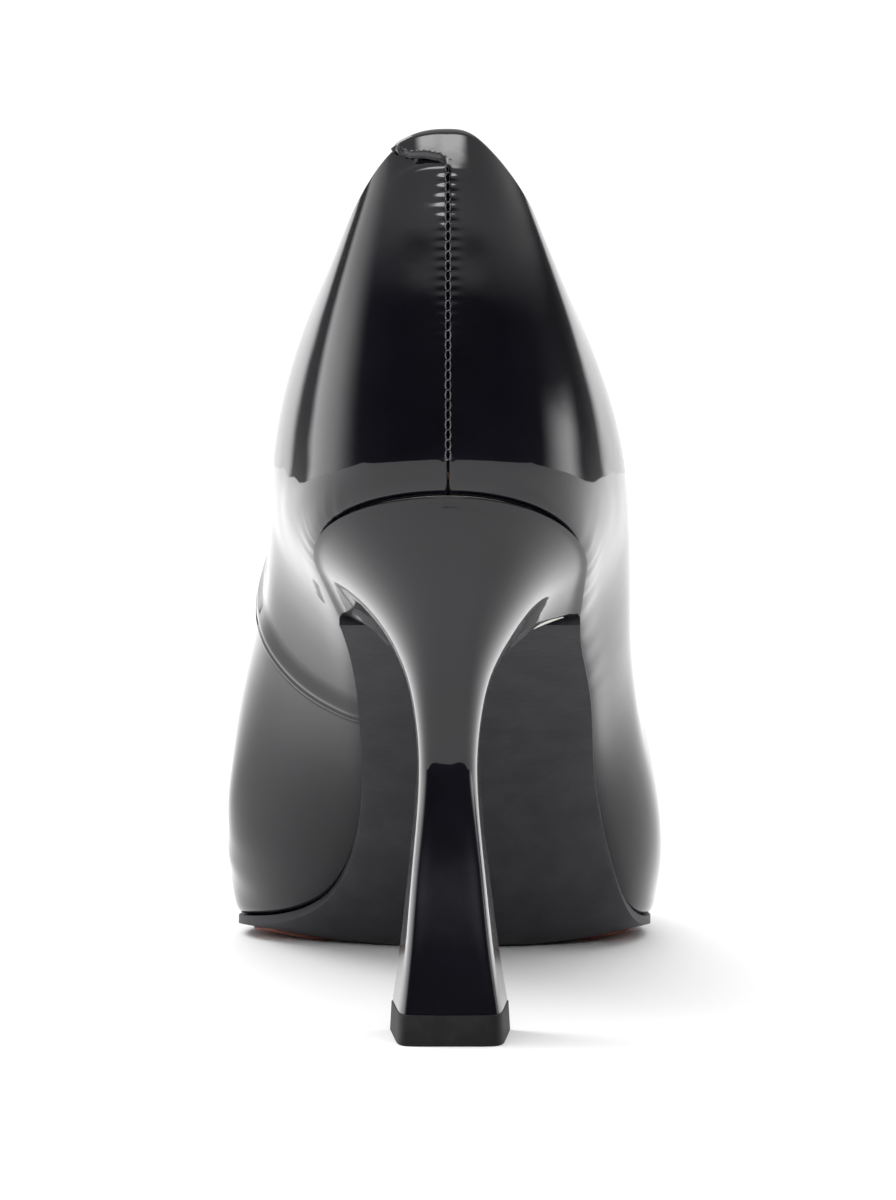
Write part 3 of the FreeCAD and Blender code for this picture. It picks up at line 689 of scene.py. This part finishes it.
def along_paths(us, vs, height):
    """Dashes along a line of places; each dash dives into the leather at its ends."""
    p = on_last(us, vs)
    n = last_normal(us, vs)
    paths = []
    for i in range(0, len(us) - 4, 5):
        keep = slice(i, i + 4)
        dip = np.array([-0.22, 0.0, 0.0, -0.22])
        paths.append(p[keep] + n[keep] * (height[keep] + dip)[:, None])
    return paths


sew("back_seam_thread", back_seam_paths(), 0.12, "black_thread", "back_seam_stitches")
seam_v = np.linspace(0.045, 0.965, 5 * 38)
seam_u = side_seam(seam_v) - 1.75 / pace(side_seam(seam_v), seam_v)
sew("side_seam_thread", along_paths(seam_u, seam_v, np.full(len(seam_v), -0.32)), 0.16,
    "black_thread", "medial_seam_stitches")
tab_s = np.linspace(0.6, -6.3, 5 * 9)
tab_v = tab_low(tab_s) + 0.020
tab_u = tab_s / pace(np.zeros(len(tab_s)), tab_v)
tab_lift = 0.27 + 0.42 * smoothstep(-tab_s, 0, 5.0)
sew("tab_thread", along_paths(tab_u, tab_v, tab_lift), 0.16, "black_thread", "dog_tail_stitches")

# %% [markdown]
# ## Sole
#
# The outsole follows the sole edge. A grid is laid across it, from the outer
# edge to the inner edge at each step from the heel breast to the toe; its border
# is then carried down over a rounded edge to the underside.

# %% Outsole and tread
def matching_u(y, side):
    """Place on the sole edge with a given y, on one side."""
    grid = np.linspace(0.5, TOE, 400) if side > 0 else ROUND - np.linspace(0.5, TOE, 400)
    ys = rail(0, grid)[:, 1]
    return float(np.interp(y, ys, grid))


def above_sole(p, height):
    """Move points off the sole's upper face, square to it."""
    slope = sole_z(p[..., 1] + 0.5) - sole_z(p[..., 1] - 0.5)
    size = np.sqrt(1 + slope ** 2)
    moved = p.copy()
    moved[..., 1] = p[..., 1] - slope / size * height
    moved[..., 2] = sole_z(p[..., 1]) + height / size
    return moved


def sole_plate(y0, y1, inset, height):
    """A sheet across the sole between two y, at a height above its upper face."""
    t = 1 - (1 - np.linspace(0, 1, 110)) ** 1.6
    right = matching_u(y0, 1) + (matching_u(y1, 1) - matching_u(y0, 1)) * t
    left = matching_u(y0, -1) + (matching_u(y1, -1) - matching_u(y0, -1)) * t
    w = 0.5 - 0.5 * np.cos(np.linspace(0, np.pi, 24))
    a, b = sole_edge(right, inset), sole_edge(left, inset)
    p = a[:, None] * (1 - w)[None, :, None] + b[:, None] * w[None, :, None]
    return above_sole(p, np.full(p.shape[:2], height))


def underside(p, extra):
    """Depth of the outsole; under the ball it is rounded across, fullest in the middle."""
    y = p[..., 1]
    w = np.linspace(0, 1, p.shape[1])
    across = np.sin(np.pi * (0.5 - 0.5 * np.cos(np.pi * w))) ** 0.8
    full = 4.0 * smoothstep(y, 88, 130) * (1 - smoothstep(y, 140, 160)) + 2.0 * smoothstep(y, 120, 155)
    return -(1.7 + full * across[None, :] + extra)


def solid_plate(name, y0, y1, inset, high, low, bevel):
    """A closed plate with a rounded rim, from a height above the sole to its underside."""
    top = sole_plate(y0, y1, inset, high)
    bottom = sole_plate(y0, y1, inset, 0.0)
    bottom = above_sole(bottom, underside(bottom, low))
    bottom[..., 2] = np.maximum(bottom[..., 2], 0.02)
    a = lay_grid(name, bottom)
    b = lay_grid(name + "_top", top[:, ::-1])
    clear_selection()
    a.select_set(True)
    b.select_set(True)
    bpy.context.view_layer.objects.active = a
    bpy.ops.object.join()
    bpy.ops.object.mode_set(mode="EDIT")
    bpy.ops.mesh.select_all(action="DESELECT")
    bpy.ops.mesh.select_non_manifold(extend=False, use_wire=False, use_boundary=True,
                                     use_multi_face=False, use_non_contiguous=False, use_verts=False)
    bpy.ops.mesh.bridge_edge_loops()
    bpy.ops.mesh.select_all(action="SELECT")
    bpy.ops.mesh.remove_doubles(threshold=0.00002)
    bpy.ops.mesh.normals_make_consistent(inside=False)
    bpy.ops.object.mode_set(mode="OBJECT")
    edge = a.modifiers.new("edge", "BEVEL")
    edge.width, edge.segments, edge.limit_method, edge.angle_limit = bevel / 1000, 3, "ANGLE", 0.9
    bpy.ops.object.modifier_apply(modifier="edge")
    bpy.ops.object.shade_smooth_by_angle(angle=0.7)
    print(a.name, len(a.data.vertices), "points")
    return a


outsole = solid_plate("outsole_sheet", 50.9, 235.9, 0.0, -0.08, 0.0, 0.6)
finish_piece(outsole, BODY, sole_black, "sole_leather", "outsole")
tread = solid_plate("tread_sheet", 146.5, 221.0, 3.0, -2.4, 1.1, 0.3)
finish_piece(tread, BODY, tread_red, "tread_rubber", "tread_pad")

# %% [markdown]
# ## Heel
#
# The heel is a moulded block wrapped in the same patent leather. Its levels
# run from the sloping seat to the level top lift. Between them a spline draws
# the spool-like sweep. The leather is turned in at the top, which leaves a fine
# dark line between the heel and the upper.

# %% Heel cover
def heel_outline(level, corner=0.9):
    """Closed outline of a level: half widths across, distance along from the back."""
    by, bz, fy, fz, bl, bm, fl, fm, reach, power = level
    length = math.hypot(fy - by, fz - bz)
    fine = np.linspace(0, 1, 160)
    t = np.concatenate([reach * (1 - np.cos(np.pi / 2 * fine) ** (2 / power)),
                        reach + (1 - reach) * fine[1:]])
    halves = []
    for side, back, front in ((1, bl, fl), (-1, bm, fm)):
        halves.append(np.stack([side * half_width(t, back, front, reach, power), t * length], 1))
    line = np.concatenate([halves[0][::-1], halves[1][1:]])
    turn = np.linspace(0, np.pi / 2, 7)[1:]
    right, left = line[0], line[-1]
    line = line[(line[:, 1] < length - corner)]
    start = [[right[0] - corner + corner * math.cos(a), length - corner + corner * math.sin(a)]
             for a in turn[::-1]]
    end = [[left[0] + corner - corner * math.cos(a), length - corner + corner * math.sin(a)]
           for a in turn]
    return np.concatenate([[[0.0, length]], start, line, end, [[0.0, length]]])


def even_outline(line, count):
    run = np.concatenate([[0], np.cumsum(np.linalg.norm(np.diff(line, axis=0), axis=1))])
    goal = np.linspace(0, run[-1], count)
    return np.stack([np.interp(goal, run, line[:, k]) for k in range(2)], 1)


AROUND = 241
LEVEL_DROPS = np.array([HEEL_LEVELS[0][1] - level[1] for level in HEEL_LEVELS])


def heel_rings():
    rings = []
    for level in HEEL_LEVELS:
        flat = even_outline(heel_outline(level), AROUND)
        back = np.array([0, level[0], level[1]])
        along = np.array([0, level[2], level[3]]) - back
        along /= np.linalg.norm(along)
        rings.append(back + flat[:, :1] * np.array([1.0, 0, 0]) + flat[:, 1:] * along)
    return np.array(rings)


def shrink(ring, amount):
    """Move a ring towards its middle by about an amount in mm."""
    centre = ring.mean(axis=0)
    out = ring - centre
    reach = np.linalg.norm(out, axis=1)[:, None]
    return ring - out / reach * amount


def heel_sheet():
    rings = heel_rings()
    end = LEVEL_DROPS[-1]
    levels = np.concatenate([[0.0, 0.25, 0.6, 1.0], np.linspace(1.6, end - 0.5, 110), [end - 0.2, end]])
    weights = spline_weights(LEVEL_DROPS, levels)
    wall = np.einsum("ij,jkl->ikl", weights, rings)
    down = np.array([0, 0, -1.0])
    top = [shrink(wall[0], 3.0), shrink(wall[0], 1.0), shrink(wall[0], 0.45) + down * 0.05,
           shrink(wall[0], 0.15) + down * 0.18]
    top = [ring + down * 0.25 for ring in top]
    wall[0] += down * 0.65
    wall[1] += down * 0.55
    wall[2] += down * 0.4
    wall[3] += down * 0.2
    foot = [shrink(wall[-1], 0.3) + down * 0.02, shrink(wall[-1], 2.0) + down * 0.02]
    return np.concatenate([top, wall, foot]).transpose(1, 0, 2)


def close_round(piece):
    clear_selection()
    piece.select_set(True)
    bpy.context.view_layer.objects.active = piece
    bpy.ops.object.mode_set(mode="EDIT")
    bpy.ops.mesh.select_all(action="SELECT")
    bpy.ops.mesh.remove_doubles(threshold=0.00001)
    bpy.ops.mesh.fill_holes(sides=0)
    bpy.ops.mesh.normals_make_consistent(inside=False)
    bpy.ops.object.mode_set(mode="OBJECT")


heel = lay_grid("heel_leather", heel_sheet())
close_round(heel)
bpy.ops.object.shade_smooth_by_angle(angle=1.0)
finish_piece(heel, BODY, patent, "patent_leather", "heel_cover")

# %% Breast panel
def breast_sheet():
    weights = spline_weights(LEVEL_DROPS, np.linspace(0.9, LEVEL_DROPS[-1] - 0.1, 90))
    levels = np.array(HEEL_LEVELS)
    right, left = weights @ levels[:, 6] - 1.2, weights @ levels[:, 7] - 1.2
    front = weights @ heel_rings()[:, 0]
    t = np.linspace(0, 1, 16)[:, None]
    p = np.empty((16, 90, 3))
    p[..., 0] = right[None] * (1 - t) - left[None] * t
    p[..., 1] = front[None, :, 1] + 0.25
    p[..., 2] = front[None, :, 2]
    return p


breast = lay_grid("breast_panel", breast_sheet()[::-1], 0.5)
finish_piece(breast, BODY, patent, "patent_leather", "heel_breast_cover")

# %% Top lift
def lift_sheet():
    plan = even_outline(heel_outline(HEEL_LEVELS[-1], 0.8), AROUND)
    back, length = HEEL_LEVELS[-1][0], plan[:, 1].max()
    rows = []
    for z, flare, inset in ((5.25, 1.02, 2.0), (5.25, 1.02, 0.20), (5.15, 1.02, 0.05), (5.0, 1.02, 0.0),
                            (2.5, 1.034, 0.0), (0.2, 1.047, 0.0), (0.06, 1.048, 0.05),
                            (0.0, 1.048, 0.2), (0.0, 1.048, 2.0)):
        ring = np.stack([plan[:, 0] * flare, back + length / 2 + (plan[:, 1] - length / 2) * flare,
                         np.full(AROUND, z)], 1)
        rows.append(shrink(ring, inset))
    return np.array(rows).transpose(1, 0, 2)


lift = lay_grid("top_lift_block", lift_sheet())
close_round(lift)
bpy.ops.object.shade_smooth_by_angle(angle=0.6)
finish_piece(lift, BODY, lift_black, "lift_rubber", "top_lift")

# %% [markdown]
# ## Inside
#
# The sock is the thin leather that the foot stands on. Under it are a foam sheet
# and the insole board, which keep their CAD shapes.

# %% Sock lining
def sock_inset(u):
    """How far the sock's edge lies inside the sole edge, so that it meets the lining."""
    low, up = on_last(u, np.full(len(u), 0.035)), on_last(u, np.full(len(u), 0.10))
    rise = up - low
    lean = np.arctan2(rise[:, 2] + 0.5 * abs(rise[:, 1]), np.hypot(rise[:, 0], rise[:, 1]))
    return 0.10 + 2.1 * np.tan(np.maximum(lean, 0.1) / 2)


def sock_sheet():
    t = 1 - (1 - np.linspace(0, 1, 120)) ** 1.4
    t = t ** 1.3
    right, left = 0.02 + (TOE - 0.05) * t, ROUND - 0.02 - (TOE - 0.05) * t
    w = 0.5 - 0.5 * np.cos(np.linspace(0, np.pi, 22))
    a, b = sole_edge(right, sock_inset(right)), sole_edge(left, sock_inset(left))
    p = a[:, None] * (1 - w)[None, :, None] + b[:, None] * w[None, :, None]
    edge = np.minimum(w, 1 - w)[None, :] * 4
    height = 5.3 - 0.35 * (1 - np.clip(edge, 0, 1)) ** 3
    return above_sole(p, np.broadcast_to(height, p.shape[:2]))


sock = lay_grid("sock_sheet", sock_sheet(), 0.7)
finish_piece(sock, BODY, lining, "lining_leather", "sock_lining")

# %% [markdown]
# ## Pieces that keep their CAD shape
#
# Boards, tapes, foam and metal sit hidden inside. They keep the exact CAD shape
# and get a finish of their own: fibre, weave, cork, steel.

# %% Finishes of the inner pieces
fibre = new_material("fibre_board", (0.36, 0.25, 0.16), 0.8)
tint(fibre, (0.30, 0.20, 0.12), (0.44, 0.32, 0.21), 400.0)
relief(fibre, [("noise", 1500.0, 0.06)])
woven = new_material("woven_cloth", (0.70, 0.68, 0.62), 0.85)
tint(woven, (0.60, 0.58, 0.52), (0.76, 0.74, 0.68), 500.0)
relief(woven, [("cells", 1800.0, 0.06)])
tape = new_material("black_tape", (0.03, 0.03, 0.03), 0.8)
tint(tape, (0.02, 0.02, 0.02), (0.05, 0.05, 0.05), 600.0)
relief(tape, [("cells", 2000.0, 0.05)])
steel = new_material("bright_steel", (0.55, 0.55, 0.57), 0.3, Metallic=1.0)
tint(steel, (0.48, 0.48, 0.50), (0.62, 0.62, 0.64), 200.0)
relief(steel, [("noise", 2500.0, 0.004)])
foam = new_material("latex_foam", (0.80, 0.74, 0.60), 0.9)
tint(foam, (0.72, 0.66, 0.52), (0.86, 0.80, 0.66), 300.0)
relief(foam, [("cells", 1200.0, 0.15)])
cork = new_material("cork", (0.48, 0.32, 0.19), 0.85)
tint(cork, (0.32, 0.20, 0.11), (0.58, 0.41, 0.26), 350.0)
relief(cork, [("cells", 600.0, 0.12)])
plastic = new_material("moulded_plastic", (0.78, 0.76, 0.70), 0.45)
tint(plastic, (0.74, 0.72, 0.66), (0.81, 0.79, 0.73), 80.0)
relief(plastic, [("noise", 700.0, 0.015)])
INNER = {
    "heel_counter": fibre, "toe_puff": fibre, "insole_board": fibre,
    "lateral_backer": woven, "medial_backer": woven, "topline_tape": tape, "back_seam_tape": tape,
    "shank_rivets": steel, "heel_nails": steel, "heel_screw": steel, "steel_shank": steel,
    "heel_dowel": steel, "top_lift_pin": steel, "sock_foam": foam, "bottom_filler": cork,
    "heel_block": plastic,
}
for node, material in INNER.items():
    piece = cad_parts[node]
    piece.data.materials.clear()
    piece.data.materials.append(material)
print(len(INNER), "inner pieces finished")

# %% [markdown]
# ## Stage, light and camera
#
# Black lacquer shows what stands around it more than it shows itself. The shoe
# stands in front of pale walls, which give it its light sides, while the room
# behind the camera is dark and keeps the back of the heel black. Three soft panes
# light that dark room: one high behind the camera, and one to each side.

# %% Floor and tent
clear_selection()
FLOOR_NEAR, FLOOR_FAR = -0.50, 2.6
bpy.ops.mesh.primitive_grid_add(x_subdivisions=8, y_subdivisions=8, size=1)
floor = bpy.context.active_object
floor.name = "floor"
bpy.ops.object.mode_set(mode="EDIT")
bpy.ops.mesh.select_all(action="SELECT")
bpy.ops.transform.resize(value=(2.3, FLOOR_FAR - FLOOR_NEAR, 1))
bpy.ops.transform.translate(value=(0, (FLOOR_FAR + FLOOR_NEAR) / 2, 0))
bpy.ops.object.mode_set(mode="OBJECT")
paper = new_material("floor_paper", (0.88, 0.88, 0.88), 0.9)
tint(paper, (0.87, 0.87, 0.87), (0.89, 0.89, 0.89), 2.0)
floor.data.materials.append(paper)

world = bpy.data.worlds.new("tent")
bpy.context.scene.world = world
world.use_nodes = True
nodes, links = world.node_tree.nodes, world.node_tree.links
direction = nodes.new("ShaderNodeTexCoord")
split = nodes.new("ShaderNodeSeparateXYZ")
links.new(direction.outputs["Generated"], split.inputs["Vector"])


def glow(axis, start, end, low, high):
    """Light that grows from low to high between two heights of one axis."""
    node = nodes.new("ShaderNodeMapRange")
    node.interpolation_type = "SMOOTHSTEP"
    for label, value in (("From Min", start), ("From Max", end), ("To Min", low), ("To Max", high)):
        node.inputs[label].default_value = value
    links.new(split.outputs[axis], node.inputs["Value"])
    return node.outputs["Result"]


def added(one, other):
    node = nodes.new("ShaderNodeMath")
    links.new(one, node.inputs[0])
    links.new(other, node.inputs[1])
    return node.outputs[0]


def times(one, other):
    node = nodes.new("ShaderNodeMath")
    node.operation = "MULTIPLY"
    links.new(one, node.inputs[0])
    links.new(other, node.inputs[1])
    return node.outputs[0]


def window(strength, **sides):
    """A soft-edged pane of light; each side gives where it fades in and out."""
    pane = None
    for axis, (a, b, c, d) in sides.items():
        peak = strength if pane is None else 1.0
        side = times(glow(axis, a, b, 0.0, peak), glow(axis, c, d, 1.0, 0.0))
        pane = side if pane is None else times(pane, side)
    return pane


panes = [
    glow("Z", 0.16, 0.30, 0.03, 0.90),
    glow("Y", 0.88, 0.93, 0.0, 1.10),
    glow("Z", 0.60, 0.92, 0.0, 1.20),
    window(10.0, Z=(0.365, 0.41, 0.43, 0.50), X=(-0.50, -0.10, 0.10, 0.50),
           Y=(-1.2, -1.1, -0.8, -0.65)),
    window(2.3, Y=(-0.25, 0.35, 0.66, 0.78), X=(-1.2, -1.1, -0.5, -0.3), Z=(-0.2, -0.1, 0.08, 0.35)),
    window(3.0, Y=(-0.15, 0.35, 0.40, 0.72), X=(0.3, 0.5, 1.1, 1.2), Z=(-0.2, -0.1, 0.0, 0.09)),
]
total = panes[0]
for pane in panes[1:]:
    total = added(total, pane)
links.new(total, nodes["Background"].inputs["Strength"])
nodes["Background"].inputs["Color"].default_value = (1.0, 1.0, 1.0, 1)

clear_selection()
bpy.ops.object.light_add(type="AREA", location=(-1.3, 0.5, 1.5))
side_light = bpy.context.active_object
side_light.name = "side_light"
side_light.data.shape = "SQUARE"
side_light.data.size = 1.0
side_light.data.energy = 24

# %% Camera
clear_selection()
EYE = np.array([0.0, -900.0, 139.2]) + SHIFT
bpy.ops.object.camera_add(location=tuple(EYE / 1000),
                          rotation=(math.radians(90 - 4.02), 0, 0))
camera = bpy.context.active_object
camera.data.lens = 164.7
camera.data.sensor_width = 36
camera.data.clip_start = 0.05
bpy.context.scene.camera = camera
bpy.context.scene.view_settings.view_transform = "Standard"
